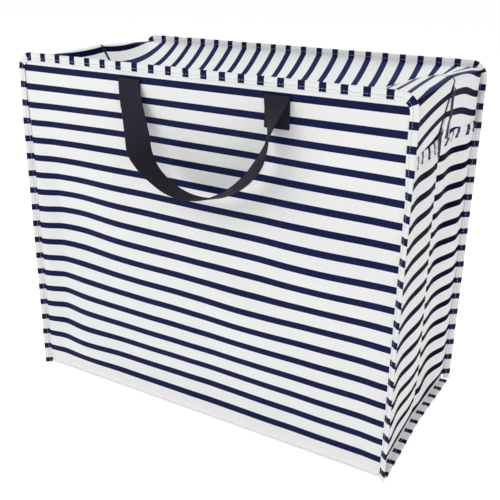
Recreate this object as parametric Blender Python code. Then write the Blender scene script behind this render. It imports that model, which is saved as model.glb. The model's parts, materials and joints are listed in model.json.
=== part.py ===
"""Large zip-top storage bag in striped laminated cloth, with bound seams and two webbing handles.

Metres, +Z up. X is the bag's length, the front is at -Y, and the bag stands on z = 0.
"""

import math

import bmesh
import bpy
from mathutils import Vector

# Driving dimensions
LENGTH = 0.550  # over the bound seams, along X
DEPTH = 0.280  # over the bound seams, along Y
HEIGHT = 0.470  # floor to the top of the bound rims

SHEET = 0.0012  # cloth panels
GAP = 0.0003  # between pieces that touch
FIN = 0.010  # how far a bound seam stands out
FIN_THICK = 0.0024
FIN_SPLAY = math.radians(40)  # the upright seams stand out diagonally
CORNER_R = 0.012  # of the seam line at the top corners

WALL_Y = 0.1320  # outer face of the front and back walls, away from their edges
WALL_TOP_Y = 0.1382  # the same along the rims
RIM_Y = 0.1385  # middle of the rim seams
BASE_R = 0.008  # fold between a wall and the base
EDGE_FLARE = 0.035  # the walls turn outward over this width at their edges
WALL_INSET = 0.0018  # the walls stop this far inside the upright seams
END_INSET = 0.0020  # and so do the ends
FLARE_LOW = 0.350  # between these heights an upright seam turns into the plane of its rim
FLARE_HIGH = 0.410

SEAM_X = LENGTH / 2 - FIN * math.cos(FIN_SPLAY)
SEAM_Y = DEPTH / 2 - FIN * math.sin(FIN_SPLAY)
SEAM_Z = HEIGHT - FIN
RIM_SEAM_X = LENGTH / 2 - FIN  # at the top corners the fins lie flat in the rim's plane

END_EDGE_X = 0.2672  # outer face of the end walls at their upright edges
BASE_MID_X = 0.2620  # the same on the middle line, where the ends crease inward
CREASE_X = 0.2560
DROP_Z = 0.3920  # where the lid's end drops meet the lower end panels
RIDGE_X = 0.2685  # outermost line of the lid's fold at the middle
RIDGE_Z = 0.4640
RIDGE_R = 0.0060
LID_EDGE_X = 0.2500  # the lid halves move between these lines
LID_SAG = 0.0470
LID_RIM_Y = RIM_Y - FIN_THICK / 2 - 0.0004
LID_HINGE_Y = LID_RIM_Y + 0.0002  # the lid halves turn about the tops of their rim seams
LID_HINGE_Z = SEAM_Z + 0.0008

SEAM_BAND = 0.0120  # height of the binding over the drop seams
ZIP_EDGE = 0.0060  # cloth edge beside the zip
TAPE_IN = 0.0032
TAPE_OUT = 0.0160
TAPE_THICK = 0.0010
TEETH_IN = 0.0006
TEETH_OUT = 0.0029
TEETH_DEPTH = (0.0004, 0.0024)  # below the lid's surface

TAB_Y = (0.0051, 0.0311)  # cloth tab beside each end of the zip
TAB_TOP = 0.4180

SLIDER_LONG = 0.0120
SLIDER_WIDE = 0.0090
SLIDER_CLEAR = 0.0004  # between the teeth and the lower plate
BRIDGE_WIDE = 0.0018
STOP_WIDE = 0.0072
STOP_THICK = 0.0012
STOP_LONG = 0.0025
STOP_ABOVE = 0.0009
UPPER_SLIDER_Z = 0.4515
LOWER_SLIDER_Z = 0.4025
PULL_LONG = 0.0320
PULL_WIDE = 0.0056
PULL_WIRE = 0.0006  # radius

WEBBING = 0.0320
WEBBING_THICK = 0.0014
HANDLE_X = (-0.0890, 0.1150)  # middles of the front handle's sewn ends
HANDLE_Z = 0.4510  # fold at the top of each sewn end, where the loop swings
SEWN_LONG = 0.0370
HANDLE_AXIS_Y = 0.1409

# The front loop's middle line from its left fold to its right one: (x, z below the fold, twist in degrees).
# The twist turns the webbing's width from X towards Y.
LOOP_STATIONS = (
    (-0.0890, 0.000, 0),
    (-0.0890, 0.007, 0),
    (-0.0868, 0.022, 4),
    (-0.0815, 0.044, 10),
    (-0.0740, 0.068, 26),
    (-0.0620, 0.090, 66),
    (-0.0440, 0.110, 86),
    (-0.0160, 0.126, 92),
    (0.0130, 0.131, 97),
    (0.0430, 0.126, 102),
    (0.0720, 0.110, 102),
    (0.0940, 0.088, 97),
    (0.1055, 0.067, 84),
    (0.1120, 0.046, 66),
    (0.1145, 0.020, 34),
    (0.1150, 0.007, 8),
    (0.1150, 0.000, 0),
)


def clear_scene():
    for old in list(bpy.data.objects):
        bpy.data.objects.remove(old, do_unlink=True)


def material(name, colour, roughness, metallic=0.0):
    made = bpy.data.materials.new(name)
    made.use_nodes = True
    shader = made.node_tree.nodes["Principled BSDF"]
    shader.inputs["Base Color"].default_value = (*colour, 1.0)
    shader.inputs["Roughness"].default_value = roughness
    shader.inputs["Metallic"].default_value = metallic
    made.diffuse_color = (*colour, 1.0)
    return made


def ease(t):
    t = min(max(t, 0.0), 1.0)
    return t * t * (3 - 2 * t)


def mix(a, b, t):
    return a + (b - a) * t


def spread(low, high, count):
    return [mix(low, high, i / (count - 1)) for i in range(count)]


# ---------------------------------------------------------------- making meshes


def add_object(name, points, faces, finish, origin=(0, 0, 0)):
    origin = Vector(origin)
    mesh = bpy.data.meshes.new(name)
    mesh.from_pydata([tuple(Vector(p) - origin) for p in points], [], faces)
    work = bmesh.new()
    work.from_mesh(mesh)
    bmesh.ops.recalc_face_normals(work, faces=work.faces)
    work.to_mesh(mesh)
    work.free()
    mesh.materials.append(finish)
    made = bpy.data.objects.new(name, mesh)
    made.location = origin
    bpy.context.scene.collection.objects.link(made)
    return made


def slab(name, outer, inner, finish, origin=(0, 0, 0)):
    """A closed sheet between two grids of points, given as equal lists of rows."""
    rows = len(outer)
    columns = len(outer[0])
    points = [p for row in outer for p in row] + [p for row in inner for p in row]
    half = rows * columns

    def at(r, c):
        return r * columns + c

    faces = []
    for r in range(rows - 1):
        for c in range(columns - 1):
            quad = (at(r, c), at(r, c + 1), at(r + 1, c + 1), at(r + 1, c))
            faces.append(quad)
            faces.append(tuple(half + i for i in reversed(quad)))
    border = [at(0, c) for c in range(columns)]
    border += [at(r, columns - 1) for r in range(1, rows)]
    border += [at(rows - 1, c) for c in range(columns - 2, -1, -1)]
    border += [at(r, 0) for r in range(rows - 2, 0, -1)]
    for a, b in zip(border, border[1:] + border[:1]):
        faces.append((a, half + a, half + b, b))
    return add_object(name, points, faces, finish, origin)


def sweep(name, sections, finish, origin=(0, 0, 0)):
    """A closed bar through a list of equal loops of points."""
    count = len(sections[0])
    points = [p for loop in sections for p in loop]
    faces = [tuple(reversed(range(count)))]
    last = (len(sections) - 1) * count
    faces.append(tuple(range(last, last + count)))
    for s in range(len(sections) - 1):
        for i in range(count):
            j = (i + 1) % count
            faces.append((s * count + i, s * count + j, (s + 1) * count + j, (s + 1) * count + i))
    return add_object(name, points, faces, finish, origin)


def strip_sections(line, fins, thick):
    """Loops for a strip whose inner edge follows line and that stands out by the fin vectors."""
    sections = []
    for i, (p, fin) in enumerate(zip(line, fins)):
        ahead = line[min(i + 1, len(line) - 1)]
        behind = line[max(i - 1, 0)]
        side = (ahead - behind).cross(fin).normalized() * thick / 2
        sections.append([p - side, p + side, p + fin + side, p + fin - side])
    return sections


# ---------------------------------------------------------------- walls and base


def seam_blend(z):
    """How far an upright seam has turned from its splayed run into the rim's plane."""
    return ease((z - FLARE_LOW) / (FLARE_HIGH - FLARE_LOW))


def wall_y(x, z):
    """Distance of a wall's outer face from the middle plane."""
    edge = ease((abs(x) - SEAM_X + EDGE_FLARE) / EDGE_FLARE)
    low = ease(1 - z / EDGE_FLARE)
    y = mix(WALL_Y, SEAM_Y + SHEET / 2, max(edge, low))
    return mix(y, WALL_TOP_Y, seam_blend(z))


def wall_edge_x(z):
    return mix(SEAM_X, RIM_SEAM_X, seam_blend(z)) - WALL_INSET


def wall_top(x):
    reach = abs(x) - (RIM_SEAM_X - CORNER_R)
    drop = CORNER_R - math.sqrt(max(CORNER_R**2 - max(reach, 0.0) ** 2, 0.0))
    return SEAM_Z - GAP - drop


def crease_x(z):
    """Outer face of an end wall on its middle line."""
    if z >= DROP_Z:
        return mix(CREASE_X, RIDGE_X, (z - DROP_Z) / (RIDGE_Z - RIDGE_R - DROP_Z))
    return mix(BASE_MID_X, CREASE_X, ease(z / DROP_Z))


def end_x(y, z):
    t = 1 - min(abs(y) / SEAM_Y, 1.0)
    return mix(END_EDGE_X, crease_x(z), t)


def base_edge_x(y):
    """Seam line between the base and an end wall."""
    t = 1 - min(abs(y) / SEAM_Y, 1.0)
    return mix(RIM_SEAM_X, BASE_MID_X - 0.001, t)


def wrap_columns():
    """Places along the bag for the wrap's points, closer together where the walls flare."""
    half = [SEAM_X - WALL_INSET - step for step in (0.0, 0.004, 0.012, 0.022, 0.035)]
    half += [0.200, 0.150, 0.100, 0.050]
    return [-x for x in half] + [0.0] + half[::-1]


def held_inside(x, edge):
    return math.copysign(min(abs(x), edge), x)


def half_wrap(side, depth):
    """Rows of points down a wall and round its fold into the base, at a depth below the outer face."""
    rows = []
    for i in range(15):
        share = 1 - ease(i / 14)
        level = mix(BASE_R, SEAM_Z, share)
        row = []
        for place in wrap_columns():
            x = held_inside(place, wall_edge_x(level))
            z = mix(BASE_R, wall_top(x), share)
            row.append((x, side * (wall_y(x, z) - depth), z))
        rows.append(row)
    radius = BASE_R - depth
    for i in range(1, 5):
        turn = math.pi / 2 * i / 4
        row = []
        for place in wrap_columns():
            centre_y = wall_y(place, BASE_R) - BASE_R
            x = held_inside(place, base_edge_x(centre_y + BASE_R * math.cos(turn)) - GAP)
            row.append((x, side * (centre_y + radius * math.cos(turn)), BASE_R - radius * math.sin(turn)))
        rows.append(row)
    return rows


def make_main_panel(finish):
    """Front wall, base and back wall, cut from one length of cloth and folded twice."""
    faces = []
    for depth in (0.0, SHEET):
        base = []
        for y in (-0.09, -0.045, 0.0, 0.045, 0.09):
            base.append([(held_inside(x, base_edge_x(y) - GAP), y, depth) for x in wrap_columns()])
        faces.append(half_wrap(-1, depth) + base + half_wrap(1, depth)[::-1])
    slab("main_panel", *faces, finish)


def make_end_panel(side, finish):
    name = "left_end_panel" if side < 0 else "right_end_panel"
    places = [-1.0, -0.85, -0.6, -0.3, -0.08, 0.0, 0.08, 0.3, 0.6, 0.85, 1.0]
    fold_y = wall_y(SEAM_X, BASE_R) - BASE_R
    inside = BASE_R - SHEET - 2 * GAP
    levels = [FIN_THICK + GAP, 0.0045, 0.0065, *spread(BASE_R + GAP, DROP_Z - GAP, 12)]
    rows = []
    for z in levels:
        half = SEAM_Y - END_INSET
        if z < BASE_R:
            half = min(half, fold_y + math.sqrt(inside**2 - (BASE_R - z) ** 2))
        row = []
        for place in places:
            y = place * half
            x = end_x(y, z)
            if z < 0.03:
                x = mix(min(x, base_edge_x(y)), x, ease(z / 0.03))
            row.append((x, y))
        rows.append((z, row))
    outer = [[(side * x, y, z) for x, y in row] for z, row in rows]
    inner = [[(side * (x - SHEET), y, z) for x, y in row] for z, row in rows]
    return slab(name, outer, inner, finish)


# ---------------------------------------------------------------- lid, drops and zip


def lid_shape(y):
    """Share of the full sag at this distance from the zip."""
    return 1 - min(abs(y) / LID_RIM_Y, 1.0) ** 1.6


def ridge(y):
    """Centre of the fold between the lid and a drop, and the angle at which the lid leaves it."""
    t = 1 - min(abs(y) / SEAM_Y, 1.0)
    centre_x = mix(END_EDGE_X, RIDGE_X, t) - RIDGE_R
    centre_z = mix(SEAM_Z + 0.0004, RIDGE_Z, t) - RIDGE_R
    slope = 3 * LID_SAG * lid_shape(y) / centre_x
    return centre_x, centre_z, math.pi / 2 + math.atan(slope)


def lid_z(x, y):
    centre_x, centre_z, start = ridge(y)
    edge_x = centre_x + RIDGE_R * math.cos(start)
    edge_z = centre_z + RIDGE_R * math.sin(start)
    share = min(abs(x) / edge_x, 1.0)
    return edge_z - LID_SAG * lid_shape(y) * (1 - share**3)


def drop_profile(y, depth):
    """The lid's end past LID_EDGE_X, its fold and its drop, at a depth below the surface."""
    centre_x, centre_z, start = ridge(y)
    edge_x = centre_x + RIDGE_R * math.cos(start)
    line = [(x, lid_z(x, y) - depth) for x in spread(LID_EDGE_X + GAP, mix(LID_EDGE_X, edge_x, 0.7), 2)]
    for angle in spread(start, 0.0, 7):
        r = RIDGE_R - depth
        line.append((centre_x + r * math.cos(angle), centre_z + r * math.sin(angle)))
    line += [(end_x(y, z) - depth, z) for z in spread(centre_z - 0.002, DROP_Z + GAP, 5)]
    return line


def lid_rows(side, low, high, depth, count=8):
    xs = spread(-LID_EDGE_X, LID_EDGE_X, 25)
    return [[(x, side * y, lid_z(x, y) - depth) for x in xs] for y in spread(low, high, count)]


def drop_rows(end, side, low, high, depth, count=7):
    return [[(end * x, side * y, z) for x, z in drop_profile(y, depth)] for y in spread(low, high, count)]


SIDES = (("front", -1), ("back", 1))
ENDS = (("left", -1), ("right", 1))


def make_lid(finish):
    """The lid is two strips of cloth, one each side of the zip."""
    for side_name, side in SIDES:
        slab(
            f"lid_{side_name}_panel",
            lid_rows(side, ZIP_EDGE, LID_RIM_Y, 0.0),
            lid_rows(side, ZIP_EDGE, LID_RIM_Y, SHEET),
            finish,
            origin=(0, side * LID_HINGE_Y, LID_HINGE_Z),
        )
        for end_name, end in ENDS:
            reach = SEAM_Y - END_INSET
            slab(
                f"{end_name}_drop_{side_name}",
                drop_rows(end, side, ZIP_EDGE, reach, 0.0),
                drop_rows(end, side, ZIP_EDGE, reach, SHEET),
                finish,
            )


def make_zip(tape, teeth):
    for side_name, side in SIDES:
        hinge = (0, side * LID_HINGE_Y, LID_HINGE_Z)
        below = SHEET + GAP
        slab(
            f"lid_{side_name}_zip_tape",
            lid_rows(side, TAPE_IN, TAPE_OUT, below, 3),
            lid_rows(side, TAPE_IN, TAPE_OUT, below + TAPE_THICK, 3),
            tape,
            origin=hinge,
        )
        slab(
            f"lid_{side_name}_zip_teeth",
            lid_rows(side, TEETH_IN, TEETH_OUT, TEETH_DEPTH[0], 2),
            lid_rows(side, TEETH_IN, TEETH_OUT, TEETH_DEPTH[1], 2),
            teeth,
            origin=hinge,
        )
        for end_name, end in ENDS:
            slab(
                f"{end_name}_{side_name}_zip_tape",
                drop_rows(end, side, TAPE_IN, TAPE_OUT, below, 3),
                drop_rows(end, side, TAPE_IN, TAPE_OUT, below + TAPE_THICK, 3),
                tape,
            )
            slab(
                f"{end_name}_{side_name}_zip_teeth",
                drop_rows(end, side, TEETH_IN, TEETH_OUT, TEETH_DEPTH[0], 2),
                drop_rows(end, side, TEETH_IN, TEETH_OUT, TEETH_DEPTH[1], 2),
                teeth,
            )


def on_drop(z, out=0.0, y=0.0):
    """A point over the right drop's middle line: out is measured square to the surface."""
    rise = RIDGE_Z - RIDGE_R - DROP_Z
    lean = math.atan2(RIDGE_X - CREASE_X, rise)
    return Vector((crease_x(z) + out * math.cos(lean), y, z - out * math.sin(lean)))


def down_drop():
    """Unit vector down the right drop's middle line."""
    return (on_drop(DROP_Z) - on_drop(RIDGE_Z - RIDGE_R)).normalized()


def make_slider(name, z, finish):
    """Two plates joined by the post that runs between the teeth, and a bridge for the pull."""
    plate = 0.0014
    half = SLIDER_WIDE / 2
    post = TEETH_IN / 2
    top_in = -(TEETH_DEPTH[0] - GAP)
    low_in = -(TEETH_DEPTH[1] + SLIDER_CLEAR)
    outline = [(half, top_in), (half, top_in + plate), (-half, top_in + plate), (-half, top_in)]
    outline += [(-post, top_in), (-post, low_in), (-half, low_in), (-half, low_in - plate)]
    outline += [(half, low_in - plate), (half, low_in), (post, low_in), (post, top_in)]
    run = down_drop() * SLIDER_LONG / 2
    sections = []
    for step in (-1, 1):
        sections.append([on_drop(z, out, y) + run * step for y, out in outline])
    body = sweep(name, sections, finish, origin=on_drop(z))

    foot = top_in + plate / 2
    arch = [(-0.0042, foot), (-0.0034, foot + 0.0030), (-0.0018, foot + 0.0040), (0.0018, foot + 0.0040)]
    arch += [(0.0034, foot + 0.0030), (0.0042, foot), (0.0030, foot), (0.0024, foot + 0.0022)]
    arch += [(0.0014, foot + 0.0030), (-0.0014, foot + 0.0030), (-0.0024, foot + 0.0022), (-0.0030, foot)]
    loops = []
    for y in (-BRIDGE_WIDE / 2, BRIDGE_WIDE / 2):
        loops.append([on_drop(z, out, y) + down_drop() * along for along, out in arch])
    bridge = sweep(f"{name}_bridge", loops, finish, origin=on_drop(z))
    join = body.modifiers.new("bridge", "BOOLEAN")
    join.operation = "UNION"
    join.solver = "EXACT"
    join.object = bridge
    bridge.hide_render = True
    bridge.display_type = "WIRE"
    return body


def pull_pivot(z):
    """Middle of the window under a slider's bridge."""
    return on_drop(z, 0.0026)


def make_pull(name, z, finish):
    """A long narrow wire loop that hangs from the bridge."""
    pivot = pull_pivot(z)
    line = []
    r = PULL_WIDE / 2
    drop = PULL_LONG - 2 * r
    for i in range(9):
        turn = math.pi * i / 8
        line.append((r * math.cos(turn), r * math.sin(turn) - r))
    for i in range(9):
        turn = math.pi * i / 8
        line.append((-r * math.cos(turn), -r - drop - r * math.sin(turn)))
    curve = bpy.data.curves.new(name, "CURVE")
    curve.dimensions = "3D"
    curve.bevel_depth = PULL_WIRE
    curve.bevel_resolution = 2
    curve.render_resolution_u = 0
    curve.use_fill_caps = True
    spline = curve.splines.new("POLY")
    spline.points.add(len(line) - 1)
    for point, (y, z_local) in zip(spline.points, line):
        point.co = (0, y, z_local, 1)
    spline.use_cyclic_u = True
    curve.materials.append(finish)
    made = bpy.data.objects.new(name, curve)
    made.location = pivot
    bpy.context.scene.collection.objects.link(made)
    return made


def make_zip_ends(cloth, metal):
    for end_name, end in ENDS:
        stop = []
        half = STOP_WIDE / 2
        low = -GAP / 3
        high = low + STOP_THICK
        for z in (DROP_Z + STOP_ABOVE, DROP_Z + STOP_ABOVE + STOP_LONG):
            corners = [(-half, low), (half, low), (half, high), (-half, high)]
            loop = [on_drop(z, out, y) for y, out in corners]
            stop.append([(end * p.x, p.y, p.z) for p in loop])
        sweep(f"{end_name}_zip_stop", stop, metal)

        outer = []
        inner = []
        for y in spread(*TAB_Y, 5):
            levels = spread(DROP_Z + 0.0008, TAB_TOP, 5)
            outer.append([(end * (end_x(y, z) + GAP + SHEET), y, z) for z in levels])
            inner.append([(end * (end_x(y, z) + GAP), y, z) for z in levels])
        slab(f"{end_name}_zip_tab", outer, inner, cloth)


# ---------------------------------------------------------------- bound seams


def rim_line(side):
    """Seam line of a wall, from one foot over the top to the other, with its fin vector at each point."""
    left = []
    levels = [0.001, 0.10, 0.20, 0.30, *spread(FLARE_LOW, FLARE_HIGH, 5), SEAM_Z - 0.030]
    for z in levels:
        blend = seam_blend(z)
        point = Vector((-mix(SEAM_X, RIM_SEAM_X, blend), side * mix(SEAM_Y, RIM_Y, blend), z))
        splay = FIN_SPLAY * (1 - blend)
        left.append((point, Vector((-math.cos(splay), side * math.sin(splay), 0.0)) * FIN))
    for i in range(7):
        turn = math.pi / 2 * i / 6
        centre = Vector((-RIM_SEAM_X + CORNER_R, side * RIM_Y, SEAM_Z - CORNER_R))
        out = Vector((-math.cos(turn), 0.0, math.sin(turn)))
        left.append((centre + out * CORNER_R, out * FIN))
    right = [(Vector((-p.x, p.y, p.z)), Vector((-f.x, f.y, f.z))) for p, f in reversed(left)]
    return left + right


def make_bindings(finish):
    for side_name, side in SIDES:
        path = rim_line(side)
        sections = strip_sections([p for p, _ in path], [f for _, f in path], FIN_THICK)
        sweep(f"{side_name}_binding", sections, finish)
    for end_name, end in ENDS:
        ys = [-0.1270, -0.09, -0.05, -0.02, 0.0, 0.02, 0.05, 0.09, 0.1270]
        line = [Vector((end * base_edge_x(y), y, FIN_THICK / 2)) for y in ys]
        fins = [Vector((end * FIN, 0.0, 0.0))] * len(ys)
        sweep(f"{end_name}_base_binding", strip_sections(line, fins, FIN_THICK), finish)

        top = DROP_Z - GAP
        ys = [SEAM_Y * t for t in (-0.94, -0.6, -0.3, -0.08, 0.0, 0.08, 0.3, 0.6, 0.94)]
        clear = 2 * GAP
        outer = []
        inner = []
        for z in (top - SEAM_BAND, top):
            outer.append([(end * (end_x(y, z) + clear + FIN_THICK), y, z) for y in ys])
            inner.append([(end * (end_x(y, z) + clear), y, z) for y in ys])
        slab(f"{end_name}_seam_binding", outer, inner, finish)


# ---------------------------------------------------------------- handles


def catmull(a, b, c, d, t):
    return 0.5 * (2 * b + (c - a) * t + (2 * a - 5 * b + 4 * c - d) * t**2 + (3 * b - a - 3 * c + d) * t**3)


def loop_line(steps=4):
    """Smooth stations between the ones picked by hand: middle, width direction, for the front handle."""
    rows = [LOOP_STATIONS[0], *LOOP_STATIONS, LOOP_STATIONS[-1]]
    line = []
    for i in range(len(LOOP_STATIONS) - 1):
        for k in range(steps):
            line.append([catmull(*(rows[i + j][axis] for j in range(4)), k / steps) for axis in range(3)])
    line.append(list(LOOP_STATIONS[-1]))
    stations = []
    for i, (x, below, twist) in enumerate(line):
        turn = math.radians(twist)
        ahead = line[min(i + 1, len(line) - 1)]
        behind = line[max(i - 1, 0)]
        run = Vector((ahead[0] - behind[0], 0.0, behind[1] - ahead[1])).normalized()
        inward = Vector((-run.z, 0.0, run.x))
        width = inward * math.cos(turn) + Vector((0, 1, 0)) * math.sin(turn)
        middle = Vector((x, -(HANDLE_AXIS_Y + WEBBING / 2 * math.sin(turn)), HANDLE_Z - below))
        stations.append((middle, run, width))
    return stations


def make_handles(webbing):
    for side_name, side in SIDES:
        sections = []
        for middle, run, width in loop_line():
            across = width * WEBBING / 2
            thick = run.cross(width).normalized() * WEBBING_THICK / 2
            low = (middle - across - thick, middle + across - thick)
            high = (middle + across + thick, middle - across + thick)
            sections.append([(-side * p.x, -side * p.y, p.z) for p in (*low, *high)])
        sweep(f"{side_name}_handle_loop", sections, webbing, origin=(0, side * HANDLE_AXIS_Y, HANDLE_Z))
        near = side * (WALL_TOP_Y + GAP)
        far = near + side * WEBBING_THICK
        centres = HANDLE_X if side < 0 else (-HANDLE_X[1], -HANDLE_X[0])
        for (end_name, _), centre in zip(ENDS, centres):
            xs = (centre - WEBBING / 2, centre + WEBBING / 2)
            zs = spread(HANDLE_Z - SEWN_LONG, HANDLE_Z, 3)
            outer = [[(x, far, z) for x in xs] for z in zs]
            inner = [[(x, near, z) for x in xs] for z in zs]
            slab(f"{side_name}_handle_{end_name}_sewn_end", outer, inner, webbing)


def main():
    clear_scene()
    cloth = material("striped_cloth", (0.82, 0.82, 0.81), 0.42)
    lid_cloth = material("lid_cloth", (0.80, 0.80, 0.80), 0.42)
    binding = material("binding", (0.60, 0.61, 0.66), 0.45)
    tape = material("zip_tape", (0.02, 0.02, 0.025), 0.80)
    teeth = material("zip_teeth", (0.03, 0.03, 0.035), 0.45)
    metal = material("dark_metal", (0.12, 0.12, 0.13), 0.35, 1.0)
    webbing = material("webbing", (0.020, 0.017, 0.032), 0.85)

    make_main_panel(cloth)
    for _, end in ENDS:
        make_end_panel(end, cloth)
    make_lid(lid_cloth)
    make_zip(tape, teeth)
    make_zip_ends(cloth, metal)
    for name, z in (("zip_slider_upper", UPPER_SLIDER_Z), ("zip_slider_lower", LOWER_SLIDER_Z)):
        make_slider(name, z, metal)
        make_pull(name.replace("slider", "pull"), z, metal)
    make_bindings(binding)
    make_handles(webbing)


main()
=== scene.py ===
"""Looks of the zip-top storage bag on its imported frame: striped laminate, bound seams, webbing, zip."""

import json
import math

import bpy
from mathutils import Matrix, Vector, noise


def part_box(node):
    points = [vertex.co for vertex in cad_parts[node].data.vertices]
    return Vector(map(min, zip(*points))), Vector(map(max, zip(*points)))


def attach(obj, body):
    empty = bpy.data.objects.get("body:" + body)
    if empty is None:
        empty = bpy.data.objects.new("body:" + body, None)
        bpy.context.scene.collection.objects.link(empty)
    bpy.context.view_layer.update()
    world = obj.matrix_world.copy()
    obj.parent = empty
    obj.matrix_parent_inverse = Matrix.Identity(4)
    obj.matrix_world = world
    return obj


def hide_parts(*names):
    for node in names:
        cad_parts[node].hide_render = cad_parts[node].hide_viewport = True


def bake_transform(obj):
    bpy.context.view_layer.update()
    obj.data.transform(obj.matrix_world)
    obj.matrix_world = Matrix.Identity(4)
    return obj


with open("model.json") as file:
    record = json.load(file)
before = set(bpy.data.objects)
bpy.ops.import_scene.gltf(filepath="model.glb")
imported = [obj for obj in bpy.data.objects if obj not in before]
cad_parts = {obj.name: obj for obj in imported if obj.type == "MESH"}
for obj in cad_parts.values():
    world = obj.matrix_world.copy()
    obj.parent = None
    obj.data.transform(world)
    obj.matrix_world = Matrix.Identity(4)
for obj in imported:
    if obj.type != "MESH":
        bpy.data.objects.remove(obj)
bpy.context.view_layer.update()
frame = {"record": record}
JOINTS = {joint["name"]: joint for joint in frame["record"]["behaviour"]["joints"]}

# ---------------------------------------------------------------- sizes

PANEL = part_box("main_panel")
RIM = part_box("front_binding")
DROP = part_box("right_drop_front")
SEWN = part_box("front_handle_left_sewn_end")

CLOTH = 0.0005  # visible thickness of the laminate
GAP = 0.0003  # between solids that touch in the frame
SEAM_Z = PANEL[1][2] + GAP
FIN = RIM[1][2] - SEAM_Z  # height of a bound seam
FIN_SPLAY = math.radians(40)  # of the upright bound seams, from the walls' plane
LENGTH = 0.550
DEPTH = 0.280
CORNER_R = 0.012
SEAM_X = LENGTH / 2 - FIN * math.cos(FIN_SPLAY)
SEAM_Y = DEPTH / 2 - FIN * math.sin(FIN_SPLAY)
RIM_SEAM_X = LENGTH / 2 - FIN
WALL_TOP_Y = PANEL[1][1]
RIM_Y = WALL_TOP_Y + GAP
WALL_Y = 0.1320
BASE_R = 0.008
EDGE_FLARE = 0.035  # a wall comes out to its side seams over this width
FLARE_LOW = 0.350  # the upright seams turn into the rims between these heights
FLARE_HIGH = 0.410

END_EDGE_X = 0.2672  # the ends at their side seams, and at their middle on the floor and under the drops
BASE_MID_X = 0.2620
CREASE_X = 0.2565
FOLD_LIP = 0.0045  # the slack of each end folds over itself at the middle, out and then in
FOLD_PIT = -0.0095
DROP_Z = DROP[0][2]
RIDGE_X = DROP[1][0] + 0.0015
RIDGE_Z = DROP[1][2] + 0.0040
RIDGE_R = 0.0060
LEFT_PULL = 0.0120  # the sagging lid draws the left ridge in
LID_SAG = 0.0500
RIGHT_FALL = 0.110  # how far in from each ridge the lid takes to sink
RIGHT_BACK_FALL = 0.058
LEFT_FALL = 0.025
LID_SLACK = 0.0140  # extra cloth gathered just inside the right ridge
LID_RIM_Y = RIM_Y - 2 * GAP
LID_IN = 0.0022  # the lid's cloth starts this far from the zip's middle line
DROP_PART = 0.0022  # and parts this much more down the drops

PITCH = 0.0249  # the stripes repeat
STRIPE = 0.0086  # width of one navy stripe
WALL_PHASE = 0.4500  # height of a stripe's middle on the walls
END_PHASE = WALL_PHASE - PITCH / 2  # and on the ends, which are cut from the cloth half a stripe lower
LID_PHASE = 0.0112  # of a stripe's middle on the lid, from the middle of the bag

BINDING_PHASE = {"front": -0.0060, "back": 0.0112}  # the same on each rim
CORNER_LOSS = {  # length of binding folded away at each corner
    ("front", "left"): 0.0045,
    ("front", "right"): -0.0010,
    ("back", "left"): 0.0,
    ("back", "right"): 0.0187,
}

STITCH = 0.0036  # length of one stitch with its gap
STITCH_FILL = 0.80  # share of it that the thread fills
THREAD = 0.00028  # radius
STITCH_IN = 0.0034  # from the seam line, on a bound seam

WEBBING = SEWN[1][0] - SEWN[0][0]
WEBBING_THICK = 0.0014
SEWN_TOP = SEWN[1][2]
SEWN_LOW = SEWN[0][2]

SIDES = (("front", -1), ("back", 1))
ENDS = (("left", -1), ("right", 1))


def ease(t):
    t = min(max(t, 0.0), 1.0)
    return t * t * (3 - 2 * t)


def mix(a, b, t):
    return a + (b - a) * t


def spread(low, high, count):
    return [mix(low, high, i / (count - 1)) for i in range(count)]


def wave(x, y, size, seed):
    """Smooth noise between about -1 and 1 that changes over size metres."""
    return noise.noise(Vector((x / size, y / size, seed)))


# ---------------------------------------------------------------- node helpers


def maths(tree, operation, a, b=None, c=None):
    made = tree.nodes.new("ShaderNodeMath")
    made.operation = operation
    for i, value in enumerate((a, b, c)):
        if value is None:
            continue
        if isinstance(value, (int, float)):
            made.inputs[i].default_value = value
        else:
            tree.links.new(value, made.inputs[i])
    return made.outputs[0]


def ridges(tree, along, pitch):
    """Rounded ridges, one for each pitch."""
    return maths(tree, "ABSOLUTE", maths(tree, "SINE", maths(tree, "MULTIPLY", along, math.pi / pitch)))


def colour_mix(tree, factor, a, b):
    made = tree.nodes.new("ShaderNodeMix")
    made.data_type = "RGBA"
    if isinstance(factor, (int, float)):
        made.inputs["Factor"].default_value = factor
    else:
        tree.links.new(factor, made.inputs["Factor"])
    for socket, value in ((made.inputs[6], a), (made.inputs[7], b)):
        if isinstance(value, tuple):
            socket.default_value = (*value, 1.0)
        else:
            tree.links.new(value, socket)
    return made.outputs[2]


def set_inputs(node, values):
    for name, value in values.items():
        node.inputs[name].default_value = value


def place_object(name, data):
    made = bpy.data.objects.new(name, data)
    bpy.context.scene.collection.objects.link(made)
    return made


def new_material(name):
    made = bpy.data.materials.new(name)
    made.use_nodes = True
    tree = made.node_tree
    return made, tree, tree.nodes["Principled BSDF"]


def cloth_coordinates(tree):
    """The flat cloth's coordinates in metres: along the stripes, and across them."""
    uv = tree.nodes.new("ShaderNodeUVMap")
    uv.uv_map = "cloth"
    split = tree.nodes.new("ShaderNodeSeparateXYZ")
    tree.links.new(uv.outputs[0], split.inputs[0])
    return uv.outputs[0], split.outputs[0], split.outputs[1]


def object_coordinates(tree):
    return tree.nodes.new("ShaderNodeTexCoord").outputs["Object"]


def noise_at(tree, vector, scale, detail=2.0, roughness=0.5):
    made = tree.nodes.new("ShaderNodeTexNoise")
    set_inputs(made, {"Scale": scale, "Detail": detail, "Roughness": roughness})
    tree.links.new(vector, made.inputs["Vector"])
    return made.outputs["Fac"]


def bump(tree, height, distance, strength=1.0, under=None):
    made = tree.nodes.new("ShaderNodeBump")
    set_inputs(made, {"Distance": distance, "Strength": strength})
    tree.links.new(height, made.inputs["Height"])
    if under is not None:
        tree.links.new(under, made.inputs["Normal"])
    return made.outputs[0]


# ---------------------------------------------------------------- materials

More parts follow.
